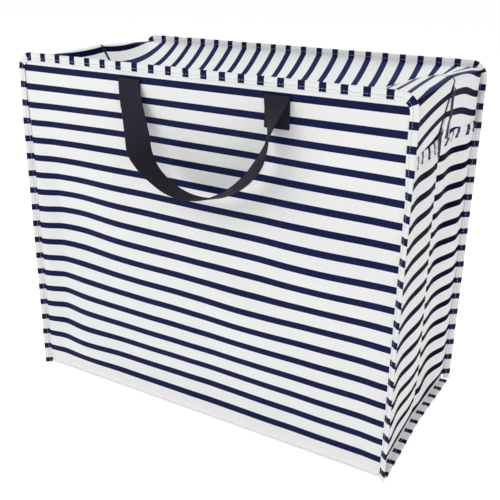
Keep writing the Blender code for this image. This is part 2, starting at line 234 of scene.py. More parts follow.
NAVY = ((0.0045, 0.0070, 0.042), (0.0085, 0.0125, 0.065), (0.013, 0.020, 0.092))  # darkest to palest ink
TAPE_PITCH = 0.0016  # width of one flat thread of the woven cloth
STRIPE_BLUR = 0.00012  # half the width of a stripe's printed edge
RIB_PITCH = 0.00115  # of the webbing
TWILL_PITCH = 0.0017
KNIT_PITCH = (0.0009, 0.0012)  # of the zip tape, along and across it


def laminate(name, crinkle=0.00025, gloss=0.05, painted_light_on_navy=1.0):
    """White woven cloth under a satin film, with navy stripes printed across it."""
    made, tree, shader = new_material(name)
    uv, along, across = cloth_coordinates(tree)

    # each flat thread is a little different
    warp = maths(tree, "FLOOR", maths(tree, "DIVIDE", along, TAPE_PITCH))
    weft = maths(tree, "FLOOR", maths(tree, "DIVIDE", across, TAPE_PITCH))
    tone = None
    for line in (warp, weft):
        single = tree.nodes.new("ShaderNodeTexWhiteNoise")
        single.noise_dimensions = "1D"
        tree.links.new(line, single.inputs["W"])
        tone = single.outputs[0] if tone is None else maths(tree, "ADD", tone, single.outputs[0])
    tone = maths(tree, "MULTIPLY", tone, 0.5)

    # stripe edges step very slightly with the threads
    jitter = maths(tree, "SUBTRACT", noise_at(tree, uv, 900.0, 1.0), 0.5)
    wobble = maths(tree, "MULTIPLY", jitter, 0.0003)
    place = maths(tree, "ADD", maths(tree, "DIVIDE", maths(tree, "ADD", across, wobble), PITCH), 0.5)
    away = maths(tree, "ABSOLUTE", maths(tree, "SUBTRACT", maths(tree, "FRACT", place), 0.5))
    edge = tree.nodes.new("ShaderNodeMapRange")
    edge.interpolation_type = "SMOOTHSTEP"
    tree.links.new(away, edge.inputs["Value"])
    outer = (STRIPE / 2 + STRIPE_BLUR) / PITCH
    inner = (STRIPE / 2 - STRIPE_BLUR) / PITCH
    set_inputs(edge, {"From Min": outer, "From Max": inner})
    stripe = edge.outputs[0]

    soil = noise_at(tree, uv, 14.0, 3.0)
    white = colour_mix(tree, soil, (0.800, 0.800, 0.792), (0.845, 0.846, 0.842))
    white = colour_mix(tree, maths(tree, "MULTIPLY", tone, 0.16), white, (0.72, 0.72, 0.72))
    # The navy is scaled by a painted-light factor: below 1 it paints shade into the stripes, above 1 it
    # paints light onto them.
    low, high, pale = (tuple(c * painted_light_on_navy for c in shade) for shade in NAVY)
    navy = colour_mix(tree, tone, low, high)
    navy = colour_mix(tree, maths(tree, "MULTIPLY", soil, 0.35), navy, pale)
    tree.links.new(colour_mix(tree, stripe, white, navy), shader.inputs["Base Color"])

    rough = maths(tree, "MULTIPLY_ADD", tone, 0.10, 0.30)
    rough = maths(tree, "MULTIPLY_ADD", noise_at(tree, uv, 60.0, 3.0), 0.10, rough)
    tree.links.new(rough, shader.inputs["Roughness"])
    shader.inputs["Specular IOR Level"].default_value = gloss

    # plain weave under the film, then the film's own fine crinkle
    wave_u = maths(tree, "COSINE", maths(tree, "MULTIPLY", along, math.pi / TAPE_PITCH))
    wave_v = maths(tree, "COSINE", maths(tree, "MULTIPLY", across, math.pi / TAPE_PITCH))
    weave = maths(tree, "MULTIPLY", wave_u, wave_v)
    first = bump(tree, weave, 0.00005, 0.8)
    second = bump(tree, noise_at(tree, uv, 170.0, 3.0, 0.6), crinkle, 1.0, first)
    third = bump(tree, noise_at(tree, uv, 28.0, 2.0), crinkle * 4, 1.0, second)
    tree.links.new(third, shader.inputs["Normal"])
    return made


def thread_material(name, colour):
    made, tree, shader = new_material(name)
    where = object_coordinates(tree)
    shade = noise_at(tree, where, 900.0, 2.0)
    darker = tuple(c * 0.72 for c in colour)
    tree.links.new(colour_mix(tree, shade, darker, colour), shader.inputs["Base Color"])
    set_inputs(shader, {"Roughness": 0.62, "Sheen Weight": 0.25})
    tree.links.new(bump(tree, noise_at(tree, where, 2600.0, 1.0), 0.00008), shader.inputs["Normal"])
    return made


def webbing_material(name):
    """Blue-black webbing: fine ribs across it, crossed by a steep twill."""
    made, tree, shader = new_material(name)
    uv, along, across = cloth_coordinates(tree)
    rib = ridges(tree, across, RIB_PITCH)
    slant = maths(tree, "MULTIPLY_ADD", along, 1.6, across)
    twill = ridges(tree, slant, TWILL_PITCH)
    height = maths(tree, "MULTIPLY_ADD", twill, 0.55, rib)
    fibre = noise_at(tree, uv, 1800.0, 2.0)
    patch = noise_at(tree, uv, 45.0, 3.0)
    base = colour_mix(tree, fibre, (0.0140, 0.0115, 0.0210), (0.0290, 0.0240, 0.0400))
    base = colour_mix(tree, maths(tree, "MULTIPLY", patch, 0.45), base, (0.037, 0.031, 0.050))
    # Painted shade: the grooves between the ribs are darkened towards near black.
    groove_painted_shade = maths(tree, "MULTIPLY", maths(tree, "SUBTRACT", 1.0, rib), 0.45)
    tree.links.new(colour_mix(tree, groove_painted_shade, base, (0.0050, 0.0042, 0.0085)), shader.inputs["Base Color"])
    set_inputs(shader, {"Roughness": 0.80, "Specular IOR Level": 0.15})
    set_inputs(shader, {"Sheen Weight": 0.03, "Sheen Roughness": 0.45})
    first = bump(tree, height, 0.00022)
    tree.links.new(bump(tree, fibre, 0.00012, 1.0, first), shader.inputs["Normal"])
    return made


def tape_material(name):
    made, tree, shader = new_material(name)
    uv, along, across = cloth_coordinates(tree)
    knit = ridges(tree, along, KNIT_PITCH[0])
    cross = ridges(tree, across, KNIT_PITCH[1])
    height = maths(tree, "MULTIPLY_ADD", knit, 0.6, cross)
    fibre = noise_at(tree, uv, 1500.0, 2.0)
    base = colour_mix(tree, fibre, (0.004, 0.004, 0.006), (0.011, 0.011, 0.014))
    tree.links.new(base, shader.inputs["Base Color"])
    set_inputs(shader, {"Roughness": 0.85, "Specular IOR Level": 0.15})
    tree.links.new(bump(tree, height, 0.00015), shader.inputs["Normal"])
    return made


def coil_material(name):
    made, tree, shader = new_material(name)
    where = object_coordinates(tree)
    shade = noise_at(tree, where, 400.0, 2.0)
    base = colour_mix(tree, shade, (0.006, 0.006, 0.008), (0.016, 0.016, 0.019))
    tree.links.new(base, shader.inputs["Base Color"])
    gloss = maths(tree, "MULTIPLY_ADD", shade, 0.18, 0.42)
    tree.links.new(gloss, shader.inputs["Roughness"])
    shader.inputs["Specular IOR Level"].default_value = 0.25
    return made


def metal_material(name):
    """Dark plated zinc, rubbed brighter in places."""
    made, tree, shader = new_material(name)
    where = object_coordinates(tree)
    worn = noise_at(tree, where, 260.0, 4.0, 0.65)
    fine = noise_at(tree, where, 1500.0, 3.0, 0.6)
    base = colour_mix(tree, worn, (0.030, 0.029, 0.034), (0.100, 0.098, 0.105))
    tree.links.new(base, shader.inputs["Base Color"])
    shader.inputs["Metallic"].default_value = 1.0
    tree.links.new(maths(tree, "MULTIPLY_ADD", fine, 0.25, 0.22), shader.inputs["Roughness"])
    tree.links.new(bump(tree, fine, 0.00003), shader.inputs["Normal"])
    return made


CLOTH_MAT = laminate("striped_cloth_laminate")
# Copies of the cloth with painted shade: the ends and the drops get darker navy stripes.
END_PAINTED_SHADE_MAT = laminate("end_cloth_laminate_painted_shade", 0.0003, gloss=0.003, painted_light_on_navy=0.35)
DROP_PAINTED_SHADE_MAT = laminate("drop_cloth_laminate_painted_shade", 0.0003, gloss=0.004, painted_light_on_navy=0.5)
# The lid's copy has painted light: its navy stripes are made paler, as if lit strongly from above.
LID_PAINTED_LIGHT_MAT = laminate("lid_cloth_laminate_painted_light", 0.0003, gloss=0.05, painted_light_on_navy=1.6)
BINDING_MAT = laminate("binding_laminate", 0.0004)
WEBBING_MAT = webbing_material("webbing_twill")
TAPE_MAT = tape_material("zip_tape_knit")
COIL_MAT = coil_material("zip_coil_nylon")
METAL_MAT = metal_material("dark_plated_metal")
PALE_THREAD = thread_material("pale_thread", (0.46, 0.46, 0.47))

# ---------------------------------------------------------------- making meshes


def finish_mesh(name, points, faces, uvs, material, sharp=40.0):
    mesh = bpy.data.meshes.new(name)
    mesh.from_pydata([tuple(p) for p in points], [], faces)
    if uvs is not None:
        layer = mesh.uv_layers.new(name="cloth")
        for loop in mesh.loops:
            layer.data[loop.index].uv = uvs[loop.vertex_index]
    mesh.materials.append(material)
    mesh.shade_smooth()
    mesh.set_sharp_from_angle(angle=math.radians(sharp))
    return place_object(name, mesh)


def grid_normals(grid):
    rows, columns = len(grid), len(grid[0])
    normals = []
    for r in range(rows):
        line = []
        for c in range(columns):
            du = grid[r][min(c + 1, columns - 1)] - grid[r][max(c - 1, 0)]
            dv = grid[min(r + 1, rows - 1)][c] - grid[max(r - 1, 0)][c]
            line.append(du.cross(dv).normalized())
        normals.append(line)
    return normals


def add_row(grid, uvs, row):
    """Add a row of (point, cloth coordinates) to a grid."""
    grid.append([point for point, _ in row])
    uvs.append([uv for _, uv in row])


def cloth_piece(name, grid, uvs, material, thickness=CLOTH, *, outward):
    """A thin closed sheet whose outer face is the grid, and looks towards outward."""
    normals = grid_normals(grid)
    middle = normals[len(grid) // 2][len(grid[0]) // 2]
    if middle.dot(Vector(outward)) < 0:
        grid = grid[::-1]
        uvs = uvs[::-1]
        normals = grid_normals(grid)
    rows, columns = len(grid), len(grid[0])
    points = [p for row in grid for p in row]
    points += [p - n * thickness for row, line in zip(grid, normals) for p, n in zip(row, line)]
    flat = [uv for row in uvs for uv in row] * 2
    half = rows * columns
    faces = []
    for r in range(rows - 1):
        for c in range(columns - 1):
            a = r * columns + c
            quad = (a, a + 1, a + columns + 1, a + columns)
            faces.append(quad)
            faces.append(tuple(half + i for i in reversed(quad)))
    border = list(range(columns))
    border += [r * columns + columns - 1 for r in range(1, rows)]
    border += [(rows - 1) * columns + c for c in range(columns - 2, -1, -1)]
    border += [r * columns for r in range(rows - 2, 0, -1)]
    for a, b in zip(border, border[1:] + border[:1]):
        faces.append((a, half + a, half + b, b))
    return finish_mesh(name, points, faces, flat, material, 60.0)


def sweep_piece(name, sections, uvs, material, closed_path=False, sharp=40.0):
    """A closed bar through equal loops of points."""
    count = len(sections[0])
    points = [p for loop in sections for p in loop]
    flat = [uv for loop in uvs for uv in loop] if uvs is not None else None
    faces = []
    spans = len(sections) if closed_path else len(sections) - 1
    for s in range(spans):
        t = (s + 1) % len(sections)
        for i in range(count):
            j = (i + 1) % count
            faces.append((s * count + i, s * count + j, t * count + j, t * count + i))
    if not closed_path:
        last = (len(sections) - 1) * count
        faces.append(tuple(reversed(range(count))))
        faces.append(tuple(range(last, last + count)))
    return finish_mesh(name, points, faces, flat, material, sharp)


def lengths(line):
    """Distance along a list of points, from its first."""
    total = [0.0]
    for a, b in zip(line, line[1:]):
        total.append(total[-1] + (b - a).length)
    return total


def at_length(line, total, s):
    """The point and direction at distance s along a line."""
    for i in range(1, len(line)):
        if total[i] >= s or i == len(line) - 1:
            span = total[i] - total[i - 1]
            t = (s - total[i - 1]) / span if span > 0 else 0.0
            return line[i - 1].lerp(line[i], t), (line[i] - line[i - 1]).normalized(), i - 1, t
    return line[-1], (line[-1] - line[-2]).normalized(), len(line) - 2, 1.0


# One stitch from end to end as (share of its length, share of the thread's radius, rise in radii)
STITCH_PROFILE = (
    (-0.5, 0.25, -1.0),
    (-0.36, 0.85, 0.1),
    (0.0, 1.0, 0.55),
    (0.36, 0.85, 0.1),
    (0.5, 0.25, -1.0),
)


def stitch_rows(name, rows):
    """Stitches along rows of (points, normals). Thread lies on the surface and dips in at its ends."""
    points = []
    faces = []
    sides = 6
    for line, normals in rows:
        total = lengths(line)
        count = int(total[-1] / STITCH)
        for k in range(count):
            s = (k + 0.5) * total[-1] / max(count, 1)
            middle, run, i, t = at_length(line, total, s)
            up = normals[i].lerp(normals[min(i + 1, len(normals) - 1)], t).normalized()
            cross = run.cross(up).normalized()
            start = len(points)
            for along, width, rise in STITCH_PROFILE:
                centre = middle + run * along * STITCH * STITCH_FILL + up * THREAD * rise
                for j in range(sides):
                    turn = 2 * math.pi * j / sides
                    offset = cross * math.cos(turn) * width + up * math.sin(turn) * width * 0.8
                    points.append(centre + offset * THREAD)
            for p in range(len(STITCH_PROFILE) - 1):
                for j in range(sides):
                    a = start + p * sides + j
                    b = start + p * sides + (j + 1) % sides
                    faces.append((a, a + sides, b + sides, b))
            faces.append(tuple(start + j for j in range(sides)))
            last = start + (len(STITCH_PROFILE) - 1) * sides
            faces.append(tuple(last + j for j in reversed(range(sides))))
    return finish_mesh(name, points, faces, None, PALE_THREAD, 80.0)


def settle(piece, body, slot, *nodes):
    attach(piece, body)
    if nodes:
        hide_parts(*nodes)


# ---------------------------------------------------------------- walls and base


def seam_blend(z):
    return ease((z - FLARE_LOW) / (FLARE_HIGH - FLARE_LOW))


def wall_y(x, z):
    edge = ease((abs(x) - SEAM_X + EDGE_FLARE) / EDGE_FLARE)
    low = ease(1 - z / EDGE_FLARE)
    y = mix(WALL_Y, SEAM_Y + CLOTH, max(edge, low))
    return mix(y, WALL_TOP_Y, seam_blend(z))


def wall_top(x):
    reach = max(abs(x) - (RIM_SEAM_X - CORNER_R), 0.0)
    return SEAM_Z - CORNER_R + math.sqrt(max(CORNER_R**2 - reach**2, 0.0))


def wall_edge_x(z):
    return mix(SEAM_X, RIM_SEAM_X, seam_blend(z)) - 0.0002


def base_edge_x(y):
    t = 1 - min(abs(y) / SEAM_Y, 1.0)
    return mix(RIM_SEAM_X, BASE_MID_X - 0.001, t)


def dent(x, z, centre, size):
    """A soft round dent: 1 at its centre."""
    return math.exp(-(((x - centre[0]) / size[0]) ** 2) - ((z - centre[1]) / size[1]) ** 2)


# Slack of each wall in metres, inward: (depth, centre, size), seen from outside with x to the right
DENTS = {
    -1: (
        (0.0100, (-0.100, 0.385), (0.130, 0.055)),
        (0.0060, (0.070, 0.370), (0.090, 0.050)),
        (0.0130, (-0.205, 0.245), (0.060, 0.085)),
        (0.0070, (-0.240, 0.110), (0.035, 0.070)),
        (0.0040, (-0.090, 0.290), (0.070, 0.070)),
        (-0.0070, (0.165, 0.250), (0.070, 0.055)),
        (-0.0060, (0.080, 0.175), (0.070, 0.045)),
        (-0.0040, (-0.200, 0.055), (0.045, 0.030)),
        (0.0030, (0.000, 0.060), (0.170, 0.030)),
    ),
    1: (
        (0.0090, (0.060, 0.380), (0.150, 0.060)),
        (0.0100, (-0.190, 0.250), (0.070, 0.100)),
        (-0.0050, (0.120, 0.200), (0.090, 0.070)),
        (0.0060, (0.220, 0.130), (0.040, 0.080)),
    ),
}


def wall_relief(x, z, side):
    """Slack in the walls: the dents above, and a few soft ripples, fading at the seams."""
    inside = ease((SEAM_X - abs(x)) / 0.034) * ease(z / 0.030) * ease((SEAM_Z - z) / 0.050)
    seen = -side * x
    slack = sum(depth * dent(seen, z, centre, size) for depth, centre, size in DENTS[side])
    broad = 0.0009 * wave(x, z * 0.7, 0.11, 3.1 + side)
    ripple = 0.0006 * wave(x, z * 0.35, 0.045, 7.7 + side)
    return inside * (broad + ripple - slack)


def make_main_wrap():
    columns = spread(-1.0, 1.0, 109)
    columns = [math.copysign(abs(c) ** 0.97, c) for c in columns]
    grid = []
    uvs = []
    wall_rows = spread(1.0, 0.0, 84)
    fold_steps = 7

    def wall_row(h, side, travelled):
        level = BASE_R + (SEAM_Z - BASE_R) * h
        half = wall_edge_x(level)
        row = []
        for c in columns:
            x = c * half
            z = BASE_R + (wall_top(x) - BASE_R) * h
            y = wall_y(x, z) + wall_relief(x, z, side)
            row.append((Vector((x, side * y, z)), (x, travelled(z))))
        add_row(grid, uvs, row)

    arc = math.pi / 2 * BASE_R
    for h in wall_rows:
        wall_row(h, -1, lambda z: z - WALL_PHASE)
    fold_y = wall_y(0.0, BASE_R) - BASE_R
    for side in (-1, 1):
        steps = range(1, fold_steps + 1) if side < 0 else range(fold_steps, 0, -1)
        for k in steps:
            turn = k / fold_steps * math.pi / 2
            row = []
            for c in columns:
                y = fold_y + BASE_R * math.cos(turn)
                x = c * min(wall_edge_x(BASE_R), base_edge_x(y))
                round_the_fold = arc * (k / fold_steps) ** 2.5
                across = BASE_R - round_the_fold
                if side > 0:
                    across = BASE_R - 2 * arc - 2 * fold_y + round_the_fold
                point = Vector((x, side * y, BASE_R - BASE_R * math.sin(turn)))
                row.append((point, (x, across - WALL_PHASE)))
            add_row(grid, uvs, row)
        if side < 0:
            for y in spread(-fold_y, fold_y, 36)[1:-1]:
                grid.append([Vector((c * base_edge_x(y), y, 0.0)) for c in columns])
                across = BASE_R - arc - (y + fold_y)
                uvs.append([(c * base_edge_x(y), across - WALL_PHASE) for c in columns])
    offset = 2 * BASE_R - 2 * arc - 2 * fold_y
    for h in reversed(wall_rows):
        wall_row(h, 1, lambda z: offset - z - WALL_PHASE)
    piece = cloth_piece("main_wrap", grid, uvs, CLOTH_MAT, outward=(0, 0, -1))
    settle(piece, "bag", "striped_cloth", "main_panel")


# ---------------------------------------------------------------- ends


def ridge_x(end):
    return RIDGE_X if end > 0 else RIDGE_X - LEFT_PULL


def crease_x(z, end=1):
    if z >= DROP_Z:
        return mix(CREASE_X, ridge_x(end), (z - DROP_Z) / (RIDGE_Z - RIDGE_R - DROP_Z))
    return mix(BASE_MID_X, CREASE_X, ease(z / DROP_Z))


def end_relief(y, z, end):
    """Soft upright folds beside the middle crease, deepest below the drop seam."""
    t = abs(y) / SEAM_Y
    inside = ease((1 - t) / 0.25) * ease(t / 0.2) * ease(z / 0.04)
    fold = 0.0034 * math.sin(2 * math.pi * (t * 1.45 + 0.16 * wave(y, z, 0.10, 2.0 + end)))
    back = 1.0 if y > 0 else 0.35
    return inside * (back * fold + 0.0020 * wave(y, z * 0.5, 0.06, 5.0 + end))


def end_x(y, z, end):
    t = 1 - min(abs(y) / SEAM_Y, 1.0)
    round_off = 0.02 * math.exp(-((abs(y) / 0.004) ** 2))
    low = ease((DROP_Z + 0.004 - z) / 0.03) * ease(z / 0.10)
    fold = mix(FOLD_LIP, FOLD_PIT, ease((end * y + 0.003) / 0.008)) * (t ** 1.5) * low
    relief = end_relief(y, z, end) * ease((DROP_Z + 0.02 - z) / 0.03)
    return mix(END_EDGE_X, crease_x(z, end), t - round_off) + fold + relief


def make_end_panel(end_name, end):
    grid = []
    uvs = []
    places = [math.copysign(abs(c) ** 1.35, c) for c in spread(-1.0, 1.0, 73)]
    fold_y = wall_y(SEAM_X, BASE_R) - BASE_R
    inside = BASE_R - CLOTH
    for z in [0.0012, 0.003, 0.005, *spread(BASE_R, DROP_Z, 80)]:
        half = SEAM_Y - 0.0002
        if z < BASE_R:
            half = min(half, fold_y + math.sqrt(inside**2 - (BASE_R - z) ** 2))
        row = []
        for place in places:
            y = place * half
            x = end_x(y, z, end)
            x = mix(min(x, base_edge_x(y)), x, ease(z / 0.03))
            row.append((Vector((end * x, y, z)), (y, z - END_PHASE)))
        add_row(grid, uvs, row)
    # The ends take the copy of the cloth with painted shade in its navy.
    piece = cloth_piece(f"{end_name}_end_cloth", grid, uvs, END_PAINTED_SHADE_MAT, outward=(end, 0, 0))
    settle(piece, "bag", "striped_cloth", f"{end_name}_end_panel")


# ---------------------------------------------------------------- lid and drops


def lid_shape(y):
    return 1 - min(abs(y) / LID_RIM_Y, 1.0) ** 2.4


def lid_fall(away, y, end):
    """Share of the sag at a distance in from a ridge: slow at the front right, steep on the left."""
    if end > 0:
        reach = mix(RIGHT_FALL, RIGHT_BACK_FALL, ease((y + 0.02) / 0.11))
        return 1 - math.exp(-((away / reach) ** 2))
    return 1 - math.exp(-away / LEFT_FALL)


def ridge(y, end):
    t = 1 - min(abs(y) / SEAM_Y, 1.0)
    centre_x = mix(END_EDGE_X, ridge_x(end), t) - RIDGE_R
    centre_z = mix(SEAM_Z + 0.0004, RIDGE_Z, t) - RIDGE_R
    slope = 0.0 if end > 0 else LID_SAG * lid_shape(y) / LEFT_FALL
    return centre_x, centre_z, math.pi / 2 + math.atan(slope)


def ridge_edge(y, end):
    centre_x, centre_z, start = ridge(y, end)
    return centre_x + RIDGE_R * math.cos(start), centre_z + RIDGE_R * math.sin(start)


def lid_z(x, y, end):
    edge_x, edge_z = ridge_edge(y, end)
    share = lid_fall(edge_x - min(abs(x), edge_x), y, end) / lid_fall(edge_x, y, end)
    return edge_z - LID_SAG * lid_shape(y) * share


def lid_profile(y, end, depth):
    """(x, z, distance) at one y, from the bag's middle over the ridge and down the drop."""
    centre_x, centre_z, start = ridge(y, end)
    edge_x, _ = ridge_edge(y, end)
    slack = LID_SLACK if end > 0 else 0.0
    line = []
    far = 0.0
    before = 0.0
    for share in spread(0.0, 1.0, 64):
        x = edge_x * (1 - (1 - share) ** 1.5)
        far += math.hypot(x - before, lid_z(x, y, end) - lid_z(before, y, end))
        before = x
        if x < edge_x:
            line.append((x, lid_z(x, y, end) - depth, far + slack * ease((x - 0.215) / 0.06)))
    far += slack
    r = RIDGE_R - depth
    for angle in spread(start, 0.0, 9):
        x = centre_x + r * math.cos(angle)
        z = centre_z + r * math.sin(angle)
        line.append((x, z, far + RIDGE_R * (start - angle)))
    far += RIDGE_R * start
    for z in spread(centre_z, DROP_Z - 0.002, 16)[1:]:
        line.append((end_x(y, z, end) - depth, z, far + centre_z - z))
    return line


def lid_grid(side, end, low, high, count, depth=0.0, bow=1.0, part=0.0):
    """Rows across the lid from beside the zip to the rim. The halves part more down the drop."""
    grid = []
    uvs = []
    for i in range(count):
        t = (i / (count - 1)) ** bow
        row = []
        profile = lid_profile(side * mix(low, high, t), end, depth)
        for x, z, far in profile:
            down = ease((SEAM_Z - z) / 0.03) if x > 0.25 else 0.0
            reach = mix(high, SEAM_Y - 0.0002, down) if high > 0.1 else high
            y = mix(low + part * ease((RIDGE_Z - z) / 0.012) * (x > 0.25), reach, t)
            row.append((Vector((end * x, side * y, z)), (side * y, end * far - LID_PHASE)))
        add_row(grid, uvs, row)
    return grid, uvs


def across_lid_joint(piece):
    """Bakes the piece's transform into its mesh."""
    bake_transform(piece)


def make_lid():
    for side_name, side in SIDES:
        for end_name, end in ENDS:
            grid, uvs = lid_grid(side, end, LID_IN, LID_RIM_Y, 34, bow=0.9, part=DROP_PART)
            name = f"lid_{side_name}_{end_name}_cloth"
            piece = cloth_piece(name, grid, uvs, LID_PAINTED_LIGHT_MAT, outward=(0, 0, 1))
            # Faces down the drops take the copy of the cloth with painted shade in its navy.
            piece.data.materials.append(DROP_PAINTED_SHADE_MAT)
            for face in piece.data.polygons:
                _, centre_z, _ = ridge(face.center.y, end)
                if abs(face.center.x) > 0.24 and face.center.z < centre_z + 0.6 * RIDGE_R:
                    face.material_index = 1
            across_lid_joint(piece)
            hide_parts(f"{end_name}_drop_{side_name}")
            if end < 0:
                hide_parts(f"lid_{side_name}_panel", f"left_drop_{side_name}")


# ---------------------------------------------------------------- bound seams


def rim_path(side):
    """Seam line of a wall from foot to foot over its top, with its fin's direction at each point."""
    left = []
    for z in spread(0.001, SEAM_Z - CORNER_R, 116)[:-1]:
        blend = seam_blend(z)
        point = Vector((-mix(SEAM_X, RIM_SEAM_X, blend), side * mix(SEAM_Y, RIM_Y, blend), z))
        splay = FIN_SPLAY * (1 - blend)
        left.append((point, Vector((-math.cos(splay), side * math.sin(splay), 0.0))))
    centre = Vector((-RIM_SEAM_X + CORNER_R, side * RIM_Y, SEAM_Z - CORNER_R))
    for turn in spread(0.0, math.pi / 2, 13):
        out = Vector((-math.cos(turn), 0.0, math.sin(turn)))
        left.append((centre + out * CORNER_R, out))
    for x in spread(-RIM_SEAM_X + CORNER_R, 0.0, 64)[1:]:
        left.append((Vector((x, side * RIM_Y, SEAM_Z)), Vector((0.0, 0.0, 1.0))))
    right = [(Vector((-p.x, p.y, p.z)), Vector((-f.x, f.y, f.z))) for p, f in reversed(left[:-1])]
    return left + right


FIN_HALF = 0.0012  # half the thickness of a bound seam

# One side of a bound seam's section as (share of its height, share of half its thickness)
FIN_SIDE = (
    (0.0, 0.80),
    (0.10, 1.0),
    (0.24, 0.95),
    (0.33, 0.66),
    (0.42, 0.92),
    (0.62, 1.0),
    (0.84, 0.95),
    (0.96, 0.70),
    (1.02, 0.28),
)


def corner_tuck(side):
    """Cloth lost in the folded corner of a wall's binding, as extra length past it."""
    middle = RIM_SEAM_X + CORNER_R

    def tuck(s):
        lost = CORNER_LOSS[side, "left" if s < 0 else "right"]
        return math.copysign(lost * ease((abs(s) - middle + 0.02) / 0.02), s)

    return tuck


def fin_piece(name, path, phase, outward, tuck=lambda s: 0.0):
    """Binding folded over two cloth edges and pinched by its stitches."""
    line = [p for p, _ in path]
    total = lengths([p + fin * FIN / 2 for p, fin in path])
    phase += total[-1] / 2
    section = list(FIN_SIDE) + [(h, -w) for h, w in reversed(FIN_SIDE)]
    grid = []
    uvs = []
    rows = ([], []), ([], [])
    for i, (p, fin) in enumerate(path):
        ahead = line[min(i + 1, len(line) - 1)]
        behind = line[max(i - 1, 0)]
        side = (ahead - behind).cross(fin).normalized()
        s = total[i]
        pucker = 1 + 0.08 * math.sin(2 * math.pi * s / STITCH) + 0.10 * wave(s, 0.0, 0.02, 1.0)
        lean = 0.0006 * wave(s, 0.0, 0.05, 4.0)
        grow = 1 + 0.04 * wave(s, 0.0, 0.03, 9.0)
        along = s - phase + tuck(s - total[-1] / 2)
        row = []
        for h, w in section:
            point = p + fin * h * FIN * grow + side * (w * FIN_HALF * pucker + lean * h)
            row.append((point, (h * FIN * (1 if w > 0 else -1), along)))
        add_row(grid, uvs, row)
        for (points, normals), sign in zip(rows, (1, -1)):
            points.append(p + fin * STITCH_IN + side * (sign * FIN_HALF * 0.68 + lean * 0.33))
            normals.append(side * sign)
    return cloth_piece(name, grid, uvs, BINDING_MAT, outward=outward), rows


def make_bindings():
    for side_name, side in SIDES:
        path = rim_path(side)
        name = f"{side_name}_binding_strip"
        strip, rows = fin_piece(name, path, BINDING_PHASE[side_name], (0, 0, 1), corner_tuck(side_name))
        settle(strip, "bag", "binding", f"{side_name}_binding")
        settle(stitch_rows(f"{side_name}_binding_stitches", rows), "bag", "binding")
    for end_name, end in ENDS:
        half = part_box(f"{end_name}_base_binding")[1][1] + 0.0020
        ys = spread(-half, half, 80)
        path = [(Vector((end * base_edge_x(y), y, 0.0012)), Vector((end, 0.0, 0.0))) for y in ys]
        strip, rows = fin_piece(f"{end_name}_base_strip", path, 0.0, (end, 0, 0))
        settle(strip, "bag", "binding", f"{end_name}_base_binding")
        settle(stitch_rows(f"{end_name}_base_stitches", rows), "bag", "binding")


def make_drop_seams():
    """Binding laid downward over the seam between each drop and its end panel."""
    for end_name, end in ENDS:
        low, high = (c[2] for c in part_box(f"{end_name}_seam_binding"))
        ys = spread(-SEAM_Y + 0.001, SEAM_Y - 0.001, 90)
        grid = []
        uvs = []
        for t in spread(0.0, 1.0, 9):
            z = mix(high + 0.0015, low, t)
            stand = 0.0010 + 0.0007 * math.sin(math.pi * min(t * 1.15, 1.0))
            stand += 0.0005 if t > 0.9 else 0.0
            row = []
            for y in ys:
                slack = 0.0004 * wave(y, 0.0, 0.012, 6.0 + end) * t
                x = end * (end_x(y, z, end) + stand + slack)
                row.append((Vector((x, y, z + 0.0006 * wave(y, 1.0, 0.02, end))), (z, y - 0.004)))
            add_row(grid, uvs, row)
        name = f"{end_name}_seam_strip"
        strip = cloth_piece(name, grid, uvs, BINDING_MAT, 0.0009, outward=(end, 0, 0))
        settle(strip, "bag", "binding", f"{end_name}_seam_binding")
        z = mix(high, low, 0.48)
        points = [Vector((end * (end_x(y, z, end) + 0.0018), y, z)) for y in ys]
        rows = [(points, [Vector((end, 0, 0))] * len(points))]
        settle(stitch_rows(f"{end_name}_seam_stitches", rows), "bag", "binding")


# ---------------------------------------------------------------- zip

TAPE_IN = 0.0014  # the tapes' inner and outer edges, from the zip's middle line
TAPE_OUT = 0.0140
COIL_IN = 0.0016
COIL_DEPTH = 0.0014  # below the lid's face
COIL_PITCH = 0.0015
COIL_SECTION = (  # as (across, up)
    (-0.0015, -0.0002),
    (-0.0010, 0.0007),
    (0.0002, 0.0010),
    (0.0012, 0.0007),
    (0.0015, 0.0),
    (0.0010, -0.0007),
    (-0.0004, -0.0008),
)
COIL_TURN = ((-0.42, 0.72), (-0.2, 1.0), (0.2, 1.0), (0.42, 0.72))  # as (share of the pitch, swell)


def make_zip_tapes():
    for side_name, side in SIDES:
        for end_name, end in ENDS:
            grid, uvs = lid_grid(side, end, TAPE_IN, TAPE_OUT, 5, depth=0.0009)
            name = f"zip_tape_{side_name}_{end_name}"
            piece = cloth_piece(name, grid, uvs, TAPE_MAT, 0.0006, outward=(0, 0, 1))
            across_lid_joint(piece)
            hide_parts(f"{end_name}_{side_name}_zip_tape")
            if end < 0:
                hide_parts(f"lid_{side_name}_zip_tape")

            profile = lid_profile(COIL_IN, end, COIL_DEPTH)
            line = [Vector((end * x, side * COIL_IN, z)) for x, z, _ in profile]
            coil = coil_piece(f"zip_coil_{side_name}_{end_name}", line, side, 0.5 if side > 0 else 0.0)
            across_lid_joint(coil)
            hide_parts(f"{end_name}_{side_name}_zip_teeth")
            if end < 0:
                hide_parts(f"lid_{side_name}_zip_teeth")


